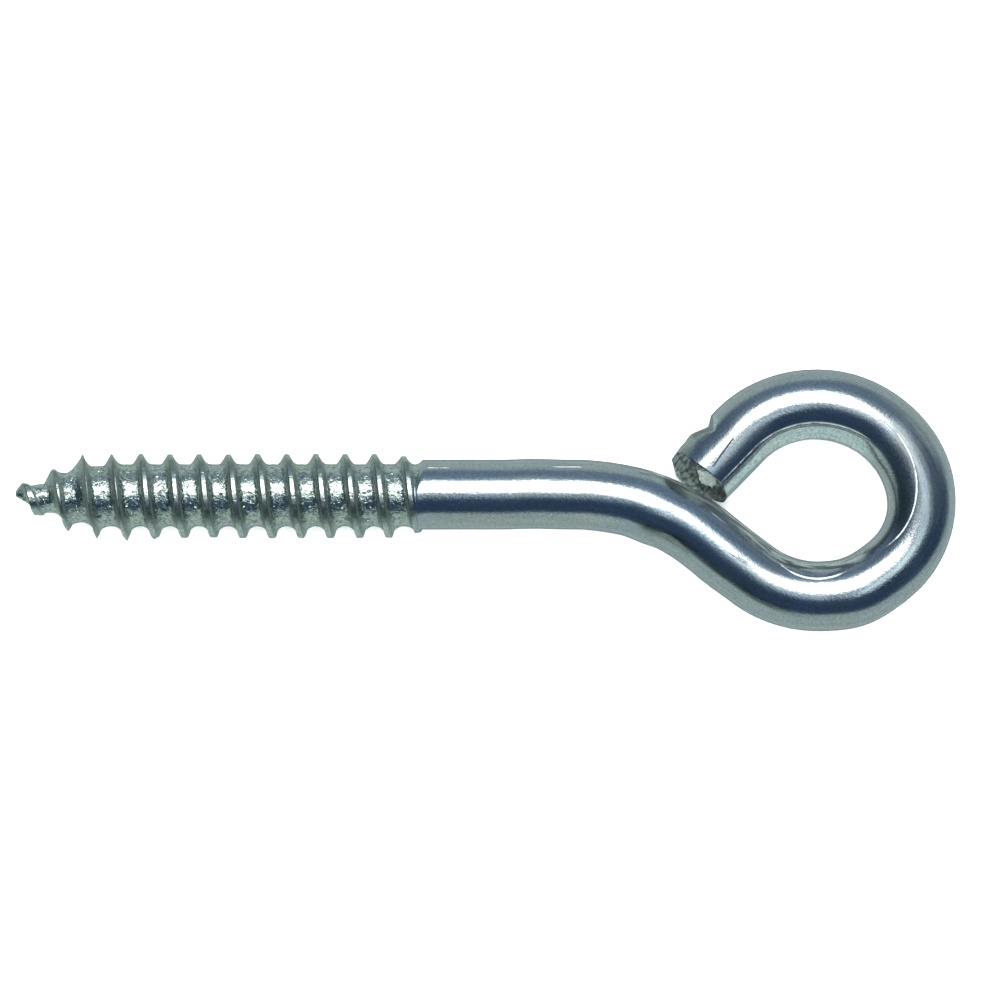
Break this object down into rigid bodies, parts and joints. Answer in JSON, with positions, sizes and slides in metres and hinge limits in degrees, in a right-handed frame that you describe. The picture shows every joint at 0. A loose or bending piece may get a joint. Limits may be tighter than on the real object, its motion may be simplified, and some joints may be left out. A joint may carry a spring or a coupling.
{
  "type": "eye lag bolt",
  "caption": "Bent-wire eye lag bolt: a round shank with a coarse lag thread and gimlet point, bent off line and turned into an open round eye with a sheared end.",
  "frame": {"origin": "on the shank's axis at the thread's shoulder, where the rolled thread ends and the full wire begins", "axes": "+X along the shank from the point toward the eye, +Z square to the plane of the eye, +Y across the eye on the side of its sheared end"},
  "size_m": [0.1143, 0.0318, 0.0104],
  "materials": {
    "zinc_plate": "bright zinc electroplate on rolled steel wire, smooth and faintly blue, duller and pitted in the thread's roots"
  },
  "bodies": {
    "root": {"eye_lag_bolt": "zinc_plate"}
  },
  "joints": []
}
